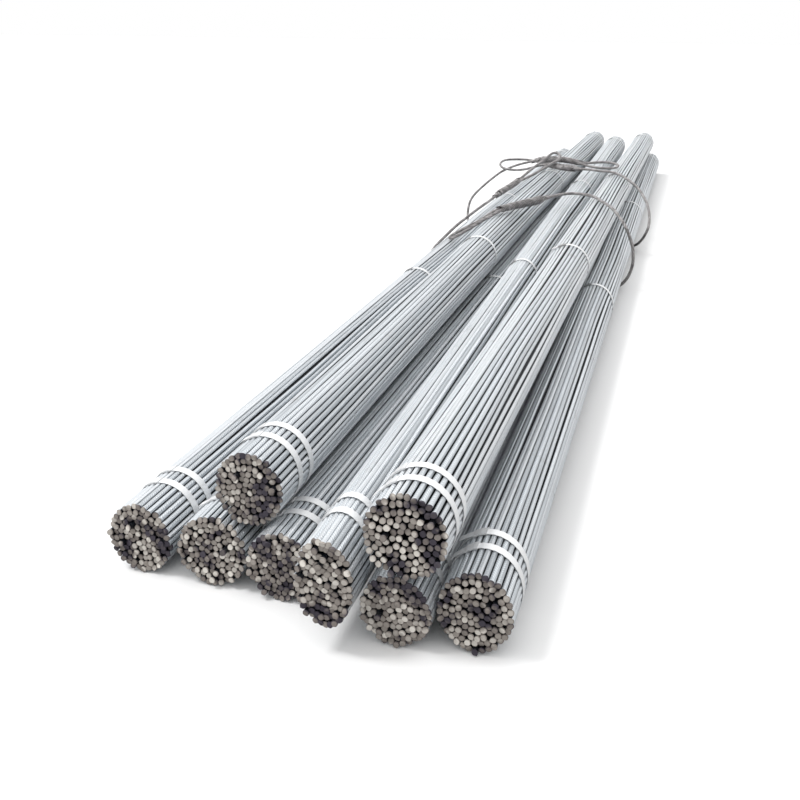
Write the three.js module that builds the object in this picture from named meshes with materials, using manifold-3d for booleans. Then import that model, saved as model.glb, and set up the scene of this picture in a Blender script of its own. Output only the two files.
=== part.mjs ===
// A pile of eight strapped bundles of ribbed reinforcing bar, with two wire-rope slings left round it.
// Millimetres, +Z up. The bars run along +Y. The origin is on the ground under the middle of the pile.
//
// Five bundles lie side by side on the ground. Three lie in the grooves on top of them. Each bundle is
// one solid: its bars touch, so they are fused, with the grooves between the outer bars along its whole
// length and its bars' ends in their rings on both faces. The ground bundles ride over the slings that
// pass under them, so they rise a little in the middle and come down to their end straps.
import * as THREE from 'three';
import { mergeVertices } from 'three/addons/utils/BufferGeometryUtils.js';
import Module from 'manifold-3d';

// ---- Bars ----
const BAR_LENGTH = 9000;
const BAR_DIAMETER = 18.8; // over the ribs
const OUTER_BARS = 33; // bars that show round a bundle
const GROOVE_DEPTH = 6.2; // from the crest of an outer bar down to where it meets the next one
const CREST_SHARE = 0.46; // the part of a bar's width that its flat crest takes

// ---- Bar ends ----
const SLID_BARS = 7; // bars on each end face that stand out of it or lie back in it
const SLIP = 14; // how far the first of them stands out or lies back
const SLIP_STEP = 5; // and how much further the others may be
const BAR_END_SIDES = 6;
const BAR_END_SHARE = 0.98; // of the bar's width, so that a slid bar is free of the ones round it
const FACE_SKEW = 5; // how many bars further on the slid ones of a far face are

// ---- Straps ----
const STRAP_WIDTH = 32;
const STRAP_THICKNESS = 1.3;
const STRAP_SIDES = 12;
const STRAP_FROM_END = 140; // from a bundle's near end to the first strap's middle
const STRAP_PAIR_PITCH = 85; // between the two straps near that end
const THIRD_STRAP = 3025; // from the near end to the strap about a third along
const TWO_THIRDS_STRAP = 5695; // and to the one about two thirds along
const FAR_STRAP_FROM_END = 260; // from the far end to the last strap's middle

// ---- How the pile lies ----
const CLEARANCE = 0.3; // between pieces that touch
const SETTLING = 0.01; // how closely a bundle's height is found
const DIRECTIONS = 90; // half a turn of directions in which the gap of two sections is looked for
const GROUND_ROW = [
  // near and far: the free space to the bundle on the left; end: how far its near end is drawn back;
  // pair: how much further along its two near straps are
  { name: 'bundle_1', near: 0, far: 0, end: 96, wide: 0.97, tall: 1.04, pair: 30 },
  { name: 'bundle_2', near: 20, far: 0, end: 88, wide: 1.03, tall: 1.04 },
  { name: 'bundle_4', near: 0, far: 0, end: 70, wide: 0.98 },
  { name: 'bundle_6', near: 170, far: 54, end: -50, wide: 0.92 },
  { name: 'bundle_8', near: 0, far: 0, end: -20, wide: 0.97, tall: 1.14 },
];
const UPPER_ROW = [
  // near and far: its place between the two it lies on, 0 over the left one and 1 over the right one
  { name: 'bundle_3', on: [2, 4], near: 0.5, far: 0.48, end: 125, wide: 0.97, tall: 1.06 },
  { name: 'bundle_5', on: [4, 6], near: 0.55, far: 0.48, end: -130, wide: 0.74, tall: 1.24, pair: 24 },
  { name: 'bundle_7', on: [6, 8], near: 0.15, far: 0.66, end: -75, wide: 1.06, tall: 1.14, pair: -44 },
];
const RISE_AT = 4500; // along the bars, where the ground bundles are highest
const RISE_OVER_ROPE = 4; // and by how much more than a rope's diameter

// ---- Slings ----
const ROPE_DIAMETER = 20;
const ROPE_SIDES = 8;
const ROPE_STEP = 60; // from ring to ring along a rope
const EYE_STEP = 28; // and round an eye
const END_STEP = 2; // the first and the last bit of a rope or a splice
const SPLICE_DIAMETER = 46; // at its throat
const SPLICE_SWELL = 56; // where its tucked strands end
const FRONT_SPLICE = 520; // length of the front sling's splices
const REAR_SPLICE = 420; // and of the rear sling's
const SPLICE_STEPS = 10;
const SPLICE_TAPER = 0.2; // the share of a splice that comes down to its rope
const SPLICE_TIP = 24; // diameter of its thin end
const LEG_APART = 21.3; // between the two legs of an eye where they leave its splice
const LEG_ROOT = 14; // how deep in the splice they start
// Each sling lies as it was dropped: its route runs from the throat of its first eye over the pile, down
// its right side, under it, up its left side and on to the throat of its second eye.
const SLINGS = {
  front: {
    splice: FRONT_SPLICE,
    route: [
      [-175, -650, 465], [-100, -510, 470], [-10, -355, 475], [70, -190, 480], [130, -35, 475],
      [185, 50, 470], [255, 35, 470], [330, -70, 476], [400, -230, 476], [475, -380, 465],
      [525, -480, 440], [575, -570, 400], [610, -585, 340], [635, -590, 275], [645, -590, 220],
      [645, -590, 155], [625, -590, 85], [595, -592, 40], [552, -600, 13], [520, -600, 11.3],
      [180, -600, 11.3], [-180, -600, 11.3], [-520, -600, 11.3], [-560, -600, 13], [-595, -595, 24],
      [-630, -575, 65], [-643, -545, 120], [-625, -500, 170], [-582, -441, 219], [-515, -390, 290],
      [-450, -320, 345], [-400, -230, 385], [-355, -85, 415], [-325, 90, 440], [-290, 285, 455],
      [-265, 450, 470],
    ],
    eyes: {
      left: [
        [-222, -688, 449], [-262, -688, 418], [-310, -652, 383], [-366, -612, 347], [-425, -572, 311],
        [-474, -550, 281], [-503, -562, 262], [-508, -598, 256], [-484, -630, 260], [-447, -643, 280],
        [-404, -662, 309], [-350, -695, 346], [-298, -728, 384], [-248, -748, 419], [-204, -738, 444],
      ],
      back: [
        [-255, 520, 481], [-232, 600, 502], [-180, 690, 547], [-127, 760, 587], [-97, 810, 615],
        [-78, 850, 629], [-49, 868, 630], [-23, 848, 615], [-22, 798, 592], [-64, 738, 568],
        [-112, 658, 539], [-168, 580, 507], [-218, 515, 484],
      ],
    },
  },
  rear: {
    splice: REAR_SPLICE,
    route: [
      [-210, 1470, 459], [-80, 1350, 460], [65, 1255, 465], [170, 1200, 470], [250, 1155, 470],
      [330, 1095, 476], [415, 1020, 466], [495, 910, 440], [555, 870, 405], [600, 795, 365],
      [640, 700, 325], [665, 585, 290], [680, 460, 250], [680, 405, 200], [660, 415, 145],
      [630, 490, 85], [595, 580, 37], [550, 620, 13], [515, 620, 11.4], [180, 620, 11.4],
      [-180, 620, 11.4], [-515, 620, 11.4], [-555, 620, 13], [-600, 630, 26], [-645, 660, 70],
      [-675, 700, 125], [-685, 735, 180], [-680, 780, 250], [-655, 865, 300], [-625, 980, 335],
      [-585, 1165, 375], [-535, 1350, 410], [-465, 1415, 440], [-375, 1410, 470], [-270, 1372, 499],
      [-165, 1360, 514], [-55, 1375, 513], [60, 1385, 494],
    ],
    eyes: {
      left: [
        [-275, 1540, 462], [-370, 1590, 472], [-475, 1555, 475], [-548, 1510, 474], [-575, 1440, 463],
        [-565, 1360, 447], [-525, 1300, 436], [-460, 1275, 430], [-385, 1295, 430], [-325, 1375, 435],
        [-275, 1465, 444],
      ],
      right: [
        [120, 1412, 489], [180, 1475, 489], [245, 1530, 486], [305, 1550, 482], [350, 1510, 476],
        [362, 1440, 470], [335, 1365, 466], [265, 1328, 468], [190, 1325, 472], [120, 1355, 480],
      ],
    },
  },
};

// ---- Finishes ----
const barSteel = new THREE.MeshStandardMaterial({ color: 0x9a9ca1, roughness: 0.5, metalness: 0.8 });
const strapSteel = new THREE.MeshStandardMaterial({ color: 0xd9dade, roughness: 0.35, metalness: 0.8 });
const ropeSteel = new THREE.MeshStandardMaterial({ color: 0x6a6a6d, roughness: 0.6, metalness: 0.6 });

const wasm = await Module();
wasm.setup();

// ---- Worked out from the sizes above ----
// The outer bars' centres lie on a circle on which they just touch.
const CENTRE_RADIUS = BAR_DIAMETER / 2 / Math.sin(Math.PI / OUTER_BARS);
const BUNDLE_RADIUS = CENTRE_RADIUS + BAR_DIAMETER / 2;
const STRAP_SEAT = BUNDLE_RADIUS + CLEARANCE; // inside of a strap's flats
const STRAP_REACH = STRAP_SEAT + STRAP_THICKNESS; // outside of a strap's flats
// A ground bundle stands on the outer edges of its end straps.
const FIRST_EDGE = STRAP_FROM_END - STRAP_WIDTH / 2;
const LAST_EDGE = BAR_LENGTH - FAR_STRAP_FROM_END + STRAP_WIDTH / 2;

const KNOTS = [0, RISE_AT, BAR_LENGTH]; // along a bundle, where it may bend

const mix = THREE.MathUtils.lerp;

// The pile's middle lies half way between its nearest and its furthest bar end.
const ENDS = [...GROUND_ROW, ...UPPER_ROW].map((place) => place.end);
const MIDDLE = (BAR_LENGTH + Math.min(...ENDS) + Math.max(...ENDS)) / 2;

// Where a bundle's straps are, as distances from its near end.
function strapsOf(bundle) {
  const front = STRAP_FROM_END + (bundle.pair ?? 0);
  return {
    near_front: front,
    near_back: front + STRAP_PAIR_PITCH,
    third: THIRD_STRAP,
    two_thirds: TWO_THIRDS_STRAP,
    far: BAR_LENGTH - FAR_STRAP_FROM_END,
  };
}

// The rise of a ground bundle at a distance along it: none at its end straps, the most at RISE_AT.
const RISE = ROPE_DIAMETER + RISE_OVER_ROPE;
function riseAt(along) {
  if (along < RISE_AT) return (RISE * (along - FIRST_EDGE)) / (RISE_AT - FIRST_EDGE);
  return (RISE * (LAST_EDGE - along)) / (LAST_EDGE - RISE_AT);
}

// The height of a bundle's middle over its rise: straight between its knots.
function heightAt(bundle, along) {
  const [near, middle, far] = bundle.heights;
  if (along < RISE_AT) return mix(near, middle, along / RISE_AT);
  return mix(middle, far, (along - RISE_AT) / (BAR_LENGTH - RISE_AT));
}

// The middle and the half widths of a bundle at a distance along it. A pressed bundle is oval at its
// near end only.
function sectionAt(bundle, along) {
  const t = along / BAR_LENGTH;
  return {
    x: mix(bundle.nearX, bundle.farX, t),
    y: bundle.end + along - MIDDLE,
    z: heightAt(bundle, along) + riseAt(along),
    wide: mix(bundle.wide ?? 1, 1, t),
    tall: mix(bundle.tall ?? 1, 1, t),
  };
}

// A point of a section, by its angle and radius in the round bundle.
function pointAt(section, angle, radius) {
  return new THREE.Vector3(
    section.x + section.wide * radius * Math.cos(angle),
    section.y,
    section.z + section.tall * radius * Math.sin(angle),
  );
}

// ---- Outlines ----
// A bundle's outline: each outer bar gives the groove before it and the two edges of its crest.
function barOutline() {
  const pitch = (2 * Math.PI) / OUTER_BARS;
  const points = [];
  for (let bar = 0; bar < OUTER_BARS; bar++) {
    const middle = bar * pitch;
    points.push({ angle: middle - pitch / 2, radius: BUNDLE_RADIUS - GROOVE_DEPTH });
    points.push({ angle: middle - (pitch * CREST_SHARE) / 2, radius: BUNDLE_RADIUS });
    points.push({ angle: middle + (pitch * CREST_SHARE) / 2, radius: BUNDLE_RADIUS });
  }
  return points;
}

// A strap's outline: flats that touch the bundle, one of them at the bottom.
function strapOutline(flatRadius) {
  const half = Math.PI / STRAP_SIDES;
  const points = [];
  for (let side = 0; side < STRAP_SIDES; side++) {
    points.push({ angle: -Math.PI / 2 + half * (2 * side + 1), radius: flatRadius / Math.cos(half) });
  }
  return points;
}

// ---- Settling ----
// The edges of every strap and the two ends of a bundle, as distances along it.
function stationsOf(bundle) {
  const half = STRAP_WIDTH / 2;
  const edges = Object.values(strapsOf(bundle)).flatMap((strap) => [strap - half, strap + half]);
  return [0, ...edges, BAR_LENGTH].map((along) => along + bundle.end);
}

// A bundle's section at a place along the pile, through a strap or between straps.
function sectionOutline(bundle, place, strapped) {
  const section = sectionAt(bundle, THREE.MathUtils.clamp(place - bundle.end, 0, BAR_LENGTH));
  const outline = strapped ? strapOutline(STRAP_REACH) : barOutline();
  return outline.map(({ angle, radius }) => pointAt(section, angle, radius));
}

function strappedAt(bundle, place) {
  return sectionOutline(bundle, place, true);
}

// The section as it is there: its strap where it has one, or else its bars.
function outlineAt(bundle, place) {
  const under = (strap) => Math.abs(place - bundle.end - strap) <= STRAP_WIDTH / 2 + SETTLING;
  return sectionOutline(bundle, place, Object.values(strapsOf(bundle)).some(under));
}

// The gap between two outlines, below zero where they overlap, from the best of many directions.
function gapBetween(upper, lower) {
  let best = -Infinity;
  for (let i = 1; i < DIRECTIONS; i++) {
    const x = Math.cos((i * Math.PI) / DIRECTIONS);
    const z = Math.sin((i * Math.PI) / DIRECTIONS);
    const bottom = Math.min(...upper.map((p) => p.x * x + p.z * z));
    const top = Math.max(...lower.map((p) => p.x * x + p.z * z));
    best = Math.max(best, bottom - top);
  }
  return best;
}

// The least gap under a bundle at the given places, with straps all along or only where they are.
function gapUnder(bundle, supports, places, outline) {
  const gaps = supports.flatMap((other) =>
    places.map((place) => gapBetween(outline(bundle, place), outline(other, place))),
  );
  return Math.min(...gaps);
}

// The lowest height, between two limits, at which a test of the height still holds.
function lowest(low, high, clears) {
  while (high - low > SETTLING) {
    const middle = (low + high) / 2;
    if (clears(middle)) high = middle;
    else low = middle;
  }
  return high;
}

// Lays a bundle on its supports: each of its three knots comes down by itself, and then the whole
// bundle is lifted by what its straps still need in between.
function settle(bundle, supports) {
  for (const [knot, along] of KNOTS.entries()) {
    bundle.heights[knot] = lowest(BUNDLE_RADIUS, 4 * BUNDLE_RADIUS, (height) => {
      bundle.heights[knot] = height;
      return gapUnder(bundle, supports, [along + bundle.end], strappedAt) > CLEARANCE;
    });
  }
  const resting = [...bundle.heights];
  const places = [bundle, ...supports].flatMap(stationsOf);
  lowest(-BUNDLE_RADIUS, BUNDLE_RADIUS, (lift) => {
    bundle.heights = resting.map((height) => height + lift);
    return gapUnder(bundle, supports, places, outlineAt) > CLEARANCE;
  });
}

function layOut() {
  const bundles = {};
  let [nearX, farX, left] = [0, 0, {}];
  for (const place of GROUND_ROW) {
    nearX += ((left.wide ?? 1) + (place.wide ?? 1)) * STRAP_REACH + CLEARANCE + place.near;
    farX += 2 * STRAP_REACH + CLEARANCE + place.far;
    const heights = KNOTS.map((along) => STRAP_REACH * mix(place.tall ?? 1, 1, along / BAR_LENGTH));
    bundles[place.name] = { ...place, nearX, farX, heights };
    left = place;
  }
  // The row is centred on the origin, near and far, so the bundles fan out evenly.
  const row = Object.values(bundles);
  const nearMiddle = (row[0].nearX + row.at(-1).nearX) / 2;
  const farMiddle = (row[0].farX + row.at(-1).farX) / 2;
  for (const bundle of row) {
    bundle.nearX -= nearMiddle;
    bundle.farX -= farMiddle;
  }
  for (const place of UPPER_ROW) {
    const [left, right] = place.on.map((number) => bundles[`bundle_${number}`]);
    const bundle = {
      ...place,
      nearX: mix(left.nearX, right.nearX, place.near),
      farX: mix(left.farX, right.farX, place.far),
      heights: KNOTS.map(() => 0),
    };
    settle(bundle, [left, right]);
    bundles[place.name] = bundle;
  }
  return bundles;
}

// ---- Solids ----
// A closed mesh through rings of points of equal count. Its two end faces are filled as a flat outline.
function loft(rings, flat) {
  const count = rings[0].length;
  const faces = [];
  for (let ring = 0; ring + 1 < rings.length; ring++) {
    for (let i = 0; i < count; i++) {
      const [a, b] = [ring * count + i, ring * count + ((i + 1) % count)];
      faces.push(a, a + count, b, b, a + count, b + count);
    }
  }
  const last = (rings.length - 1) * count;
  for (const [a, b, c] of THREE.ShapeUtils.triangulateShape(flat, [])) {
    faces.push(a, b, c, last + a, last + c, last + b);
  }
  return meshFrom(rings.flat(), faces);
}

// A closed ring: outer and inner rings of points at its two edges.
function hoop(rings) {
  const count = rings[0].length;
  const faces = [];
  for (let ring = 0; ring < rings.length; ring++) {
    for (let i = 0; i < count; i++) {
      const next = (ring + 1) % rings.length;
      const [a, b] = [ring * count + i, ring * count + ((i + 1) % count)];
      const [c, d] = [next * count + i, next * count + ((i + 1) % count)];
      faces.push(a, c, b, b, c, d);
    }
  }
  return meshFrom(rings.flat(), faces);
}

function meshFrom(points, faces) {
  const geometry = new THREE.BufferGeometry();
  geometry.setAttribute('position', new THREE.Float32BufferAttribute(points.flatMap((p) => p.toArray()), 3));
  geometry.setIndex(faces);
  return geometry;
}

function toSolid(geometry) {
  const bare = geometry.clone();
  bare.deleteAttribute('normal');
  bare.deleteAttribute('uv');
  const merged = mergeVertices(bare, 1e-4);
  return new wasm.Manifold(
    new wasm.Mesh({
      numProp: 3,
      vertProperties: new Float32Array(merged.attributes.position.array),
      triVerts: new Uint32Array(merged.index.array),
    }),
  );
}

function toGeometry(solid) {
  const mesh = solid.getMesh();
  const geometry = new THREE.BufferGeometry();
  geometry.setAttribute('position', new THREE.Float32BufferAttribute(mesh.vertProperties, 3));
  geometry.setIndex(Array.from(mesh.triVerts));
  return geometry;
}

// ---- Bundles ----
// The inner bars lie in rings inside the outer ones, each ring as full as it can be.
function innerBars() {
  const bars = [];
  const ringPitch = (BAR_DIAMETER * Math.sqrt(3)) / 2;
  for (let radius = CENTRE_RADIUS - ringPitch; radius > BAR_DIAMETER / 2; radius -= ringPitch) {
    const count = Math.floor((2 * Math.PI * radius) / BAR_DIAMETER);
    for (let i = 0; i < count; i++) bars.push({ angle: (i * 2 * Math.PI) / count, radius });
  }
  return bars;
}

// The bars on one end face that have slid: every few bars of the rings, one out and the next one in.
function slidBars(bundle, index, face) {
  const bars = innerBars();
  const step = Math.floor(bars.length / SLID_BARS);
  const first = (index + face * FACE_SKEW) % step; // so that no two faces are alike
  return Array.from({ length: SLID_BARS }, (unused, i) => ({
    ...bars[first + i * step],
    slip: (SLIP + SLIP_STEP * (i % 3)) * (i % 2 ? 1 : -1),
  }));
}

// The end of one slid bar, as a prism that crosses the end face.
function barEnd(section, bar) {
  const width = BAR_DIAMETER / 2;
  const depth = Math.abs(bar.slip) * 2;
  const prism = new THREE.CylinderGeometry(width, width, depth, BAR_END_SIDES);
  const centre = pointAt(section, bar.angle, bar.radius);
  prism.scale(section.wide * BAR_END_SHARE, 1, section.tall * BAR_END_SHARE);
  return toSolid(prism.translate(centre.x, centre.y, centre.z));
}

function makeBundle(bundle, index) {
  const outline = barOutline();
  const rings = KNOTS.map((along) => {
    const section = sectionAt(bundle, along);
    return outline.map(({ angle, radius }) => pointAt(section, angle, radius));
  });
  const flat = rings[0].map((p) => new THREE.Vector2(p.x, p.z));
  let solid = toSolid(loft(rings, flat));
  for (const [face, along] of [0, BAR_LENGTH].entries()) {
    const section = sectionAt(bundle, along);
    for (const bar of slidBars(bundle, index, face)) {
      const end = barEnd(section, bar);
      solid = bar.slip > 0 ? solid.add(end) : solid.subtract(end);
    }
  }
  const mesh = new THREE.Mesh(toGeometry(solid), barSteel);
  mesh.name = bundle.name;
  return mesh;
}

function makeStrap(bundle, place, along) {
  const ring = (offset, radius) => {
    const section = sectionAt(bundle, along + offset);
    return strapOutline(radius).map((p) => pointAt(section, p.angle, p.radius));
  };
  const half = STRAP_WIDTH / 2;
  const outside = [ring(-half, STRAP_REACH), ring(half, STRAP_REACH)];
  const inside = [ring(half, STRAP_SEAT), ring(-half, STRAP_SEAT)];
  const mesh = new THREE.Mesh(hoop([...outside, ...inside]), strapSteel);
  mesh.name = `strap_${bundle.name.split('_')[1]}_${place}`;
  return mesh;
}

// ---- Slings ----
// The corners of a round section, counterclockwise.
function circle(radius) {
  const corner = (i) => (i * 2 * Math.PI) / ROPE_SIDES;
  return Array.from({ length: ROPE_SIDES }, (unused, i) => {
    return new THREE.Vector2(Math.cos(corner(i)), Math.sin(corner(i))).multiplyScalar(radius);
  });
}

// The stretch of a curve between two distances along it. A short step at both ends gives its end faces
// the curve's own direction, so two stretches that follow each other meet face to face.
function stretch(curve, from, to) {
  const count = Math.ceil((to - from) / ROPE_STEP);
  const total = curve.getLength();
  const places = [from, from + END_STEP];
  for (let i = 1; i < count; i++) places.push(mix(from, to, i / count));
  places.push(to - END_STEP, to);
  return new THREE.CatmullRomCurve3(places.map((place) => curve.getPointAt(place / total)));
}

// A tube along a curve, with rings about one step apart.
function ropeTube(curve, step) {
  const steps = Math.round(curve.getLength() / step);
  const settings = { steps, bevelEnabled: false, extrudePath: curve };
  return new THREE.ExtrudeGeometry(new THREE.Shape(circle(ROPE_DIAMETER / 2)), settings);
}

// A splice from its throat to its thin end.
function spliceTube(curve) {
  const frames = curve.computeFrenetFrames(SPLICE_STEPS, false);
  const rings = [];
  for (let i = 0; i <= SPLICE_STEPS; i++) {
    const t = i / SPLICE_STEPS;
    const swell = THREE.MathUtils.smoothstep(t, 0, 1 - SPLICE_TAPER);
    const taper = THREE.MathUtils.smoothstep(t, 1 - SPLICE_TAPER, 1);
    const thick = mix(SPLICE_DIAMETER, SPLICE_SWELL, swell);
    const centre = curve.getPointAt(t);
    const ring = circle(mix(thick, SPLICE_TIP, taper) / 2).map(({ x, y }) => {
      const point = centre.clone().addScaledVector(frames.normals[i], x);
      return point.addScaledVector(frames.binormals[i], -y);
    });
    rings.push(ring);
  }
  return loft(rings, circle(1));
}

// An eye and its splice: the eye's two legs start side by side in the throat of the splice.
function makeEye(name, spine, spliceLength, points) {
  const loop = points.map((p) => new THREE.Vector3(...p));
  const throat = spine.getPointAt(0);
  const inward = spine.getTangentAt(0);
  const aside = loop[0].clone().sub(loop.at(-1)).projectOnPlane(inward).setLength(LEG_APART / 2);
  const legRoot = (side, depth) => {
    return throat.clone().addScaledVector(aside, side).addScaledVector(inward, depth);
  };
  const leaving = [LEG_ROOT, 0].map((depth) => legRoot(1, depth));
  const coming = [0, LEG_ROOT].map((depth) => legRoot(-1, depth));
  const legs = [...leaving, ...loop, ...coming];
  const splice = toSolid(spliceTube(stretch(spine, 0, spliceLength)));
  const eye = toSolid(ropeTube(new THREE.CatmullRomCurve3(legs), EYE_STEP));
  const mesh = new THREE.Mesh(toGeometry(splice.add(eye)), ropeSteel);
  mesh.name = name;
  return mesh;
}

function makeSling(name, { splice, route, eyes }) {
  const points = route.map((p) => new THREE.Vector3(...p));
  const spine = new THREE.CatmullRomCurve3(points);
  const back = new THREE.CatmullRomCurve3([...points].reverse());
  const margin = splice + CLEARANCE;
  const between = stretch(spine, margin, spine.getLength() - margin);
  const rope = new THREE.Mesh(toGeometry(toSolid(ropeTube(between, ROPE_STEP))), ropeSteel);
  rope.name = `sling_${name}_rope`;
  const sling = new THREE.Group().add(rope);
  for (const [index, [side, loop]] of Object.entries(eyes).entries()) {
    sling.add(makeEye(`sling_${name}_eye_${side}`, index ? back : spine, splice, loop));
  }
  return sling;
}

// ---- The pile ----
const pile = new THREE.Group();
const bundles = layOut();
for (const [index, bundle] of Object.values(bundles).entries()) {
  pile.add(makeBundle(bundle, index));
  for (const [place, along] of Object.entries(strapsOf(bundle))) pile.add(makeStrap(bundle, place, along));
}

for (const [name, sling] of Object.entries(SLINGS)) pile.add(...makeSling(name, sling).children);

export default pile;
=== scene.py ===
"""A pile of strapped bundles of ribbed reinforcing bar, with two wire-rope slings left round it.

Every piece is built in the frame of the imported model, in metres, +Z up, with the bars along +Y.
"""
import math
from functools import partial

import bpy
import numpy as np
from mathutils import Matrix, Vector


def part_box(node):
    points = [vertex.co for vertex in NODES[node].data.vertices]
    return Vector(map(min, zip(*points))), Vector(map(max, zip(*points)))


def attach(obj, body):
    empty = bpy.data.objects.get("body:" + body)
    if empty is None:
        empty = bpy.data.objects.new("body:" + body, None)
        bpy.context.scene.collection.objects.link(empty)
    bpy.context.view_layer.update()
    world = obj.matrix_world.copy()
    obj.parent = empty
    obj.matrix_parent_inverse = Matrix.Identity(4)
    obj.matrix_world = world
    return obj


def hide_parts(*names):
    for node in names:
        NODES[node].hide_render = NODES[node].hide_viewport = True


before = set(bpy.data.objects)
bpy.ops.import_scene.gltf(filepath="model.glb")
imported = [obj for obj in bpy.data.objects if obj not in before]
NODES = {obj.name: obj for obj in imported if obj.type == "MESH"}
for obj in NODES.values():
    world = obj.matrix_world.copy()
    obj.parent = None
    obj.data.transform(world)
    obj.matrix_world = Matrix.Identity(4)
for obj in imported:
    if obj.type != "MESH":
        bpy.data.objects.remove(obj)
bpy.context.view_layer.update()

bl_info = {
    "name": "Rebar bundles",
    "version": (1, 0, 0),
    "blender": (4, 5, 0),
    "location": "3D View > Sidebar > Rebar",
    "description": "Ribbed bars, their straps and two wire-rope slings, built on the packed model",
    "category": "Object",
}

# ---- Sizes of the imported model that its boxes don't give ----
BAR_PITCH = 0.0188  # from bar to bar where they touch
OUTER_BARS = 33
SLID_BARS = 7  # on each face
SAME_PLACE = 0.0002  # within which points lie at one place along the pile
SLIP = 0.014  # how far a bar has slid out at least, and what each next one adds
SLIP_STEP = 0.005
FACE_SKEW = 5  # places from the slid bars of one face to those of the other
CENTRE_RADIUS = BAR_PITCH / 2 / math.sin(math.pi / OUTER_BARS)
BUNDLE_RADIUS = CENTRE_RADIUS + BAR_PITCH / 2
BUNDLES = [f"bundle_{number}" for number in (1, 2, 4, 6, 8, 3, 5, 7)]
STRAP_PLACES = ["near_front", "near_back", "third", "two_thirds", "far"]

# The slings' routes, in millimetres: from the throat of the first eye to the throat of the second.
SLINGS = {
    "front": {
        "splice": 520,
        "swell": {"left": 27.5, "back": 22.5},
        "route": [
            (-175, -650, 465), (-100, -510, 470), (-10, -355, 475), (70, -190, 480),
            (130, -35, 475), (185, 50, 470), (255, 35, 470), (330, -70, 476), (400, -230, 476),
            (475, -380, 465), (525, -480, 440), (575, -570, 400), (610, -585, 340),
            (635, -590, 275), (645, -590, 220), (645, -590, 155), (625, -590, 85),
            (595, -592, 40), (552, -600, 13), (520, -600, 11.3), (180, -600, 11.3),
            (-180, -600, 11.3), (-520, -600, 11.3), (-560, -600, 13), (-595, -595, 24),
            (-630, -575, 65), (-643, -545, 120), (-625, -500, 170), (-582, -441, 219),
            (-515, -390, 290), (-450, -320, 345), (-400, -230, 385), (-355, -85, 415),
            (-325, 90, 440), (-290, 285, 455), (-265, 450, 470),
        ],
        "eyes": {
            "left": [
                (-222, -688, 449), (-262, -688, 418), (-310, -652, 383), (-366, -612, 347),
                (-425, -572, 311), (-474, -550, 281), (-503, -562, 262), (-508, -598, 256),
                (-484, -630, 260), (-447, -643, 280), (-404, -662, 309), (-350, -695, 346),
                (-298, -728, 384), (-248, -748, 419), (-204, -738, 444),
            ],
            "back": [
                (-255, 520, 481), (-232, 600, 502), (-180, 690, 547), (-127, 760, 587),
                (-97, 810, 615), (-78, 850, 629), (-49, 868, 630), (-23, 848, 615),
                (-22, 798, 592), (-64, 738, 568), (-112, 658, 539), (-168, 580, 507),
                (-218, 515, 484),
            ],
        },
    },
    "rear": {
        "splice": 420,
        "swell": {"left": 27.5, "right": 27.5},
        "route": [
            (-210, 1470, 459), (-80, 1350, 460), (65, 1255, 465), (170, 1200, 470),
            (250, 1155, 470), (330, 1095, 476), (415, 1020, 466), (495, 910, 440),
            (555, 870, 405), (600, 795, 365), (640, 700, 325), (665, 585, 290), (680, 460, 250),
            (680, 405, 200), (660, 415, 145), (630, 490, 85), (595, 580, 37), (550, 620, 13),
            (515, 620, 11.4), (180, 620, 11.4), (-180, 620, 11.4), (-515, 620, 11.4),
            (-555, 620, 13), (-600, 630, 26), (-645, 660, 70), (-675, 700, 125),
            (-685, 735, 180), (-680, 780, 250), (-655, 865, 300), (-625, 980, 335),
            (-585, 1165, 375), (-535, 1350, 410), (-465, 1415, 440), (-375, 1410, 470),
            (-270, 1372, 499), (-165, 1360, 514), (-55, 1375, 513), (60, 1385, 494),
        ],
        "eyes": {
            "left": [
                (-275, 1540, 462), (-370, 1590, 472), (-475, 1555, 475), (-548, 1510, 474),
                (-575, 1440, 463), (-565, 1360, 447), (-525, 1300, 436), (-460, 1275, 430),
                (-385, 1295, 430), (-325, 1375, 435), (-275, 1465, 444),
            ],
            "right": [
                (120, 1412, 489), (180, 1475, 489), (245, 1530, 486), (305, 1550, 482),
                (350, 1510, 476), (362, 1440, 470), (335, 1365, 466), (265, 1328, 468),
                (190, 1325, 472), (120, 1355, 480),
            ],
        },
    },
}

# ---- Camera ----
CAMERA_PLACE = (0.948, -6.678, 1.575)
CAMERA_YAW = math.radians(16.28)  # towards -X from +Y
CAMERA_PITCH = math.radians(21.28)  # downwards
CAMERA_ROLL = math.radians(0.36)
CAMERA_LENS = 44.44
CAMERA_SENSOR = 36
CAMERA_REACH = 200


# ---- Nodes ----
# The kinds that come up often.
MATH = "ShaderNodeMath"
VECTOR_MATH = "ShaderNodeVectorMath"
MAP_RANGE = "ShaderNodeMapRange"
MIX = "ShaderNodeMix"
RAMP = "ShaderNodeValToRGB"
NOISE = "ShaderNodeTexNoise"
BUMP = "ShaderNodeBump"
SEPARATE = "ShaderNodeSeparateXYZ"
COMBINE = "ShaderNodeCombineXYZ"
STORE = "GeometryNodeStoreNamedAttribute"
SET_POSITION = "GeometryNodeSetPosition"


def linear(code):
    """An sRGB hex colour as linear red, green and blue."""
    parts = [int(code[i:i + 2], 16) / 255 for i in (1, 3, 5)]
    return tuple(c / 12.92 if c <= 0.04045 else ((c + 0.055) / 1.055) ** 2.4 for c in parts)


def rgba(colour, share=1):
    """A colour for a socket, darkened or lightened by a share."""
    return (*(min(1, c * share) for c in colour), 1.0)


def set_inputs(node, inputs):
    """Gives a node's inputs their values, or links them to sockets or nodes' first outputs."""
    for key, source in inputs.items():
        if isinstance(source, bpy.types.Node):
            source = next(socket for socket in source.outputs if socket.enabled)
        if isinstance(source, bpy.types.NodeSocket):
            node.id_data.links.new(source, node.inputs[key])
        else:
            node.inputs[key].default_value = source


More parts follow.
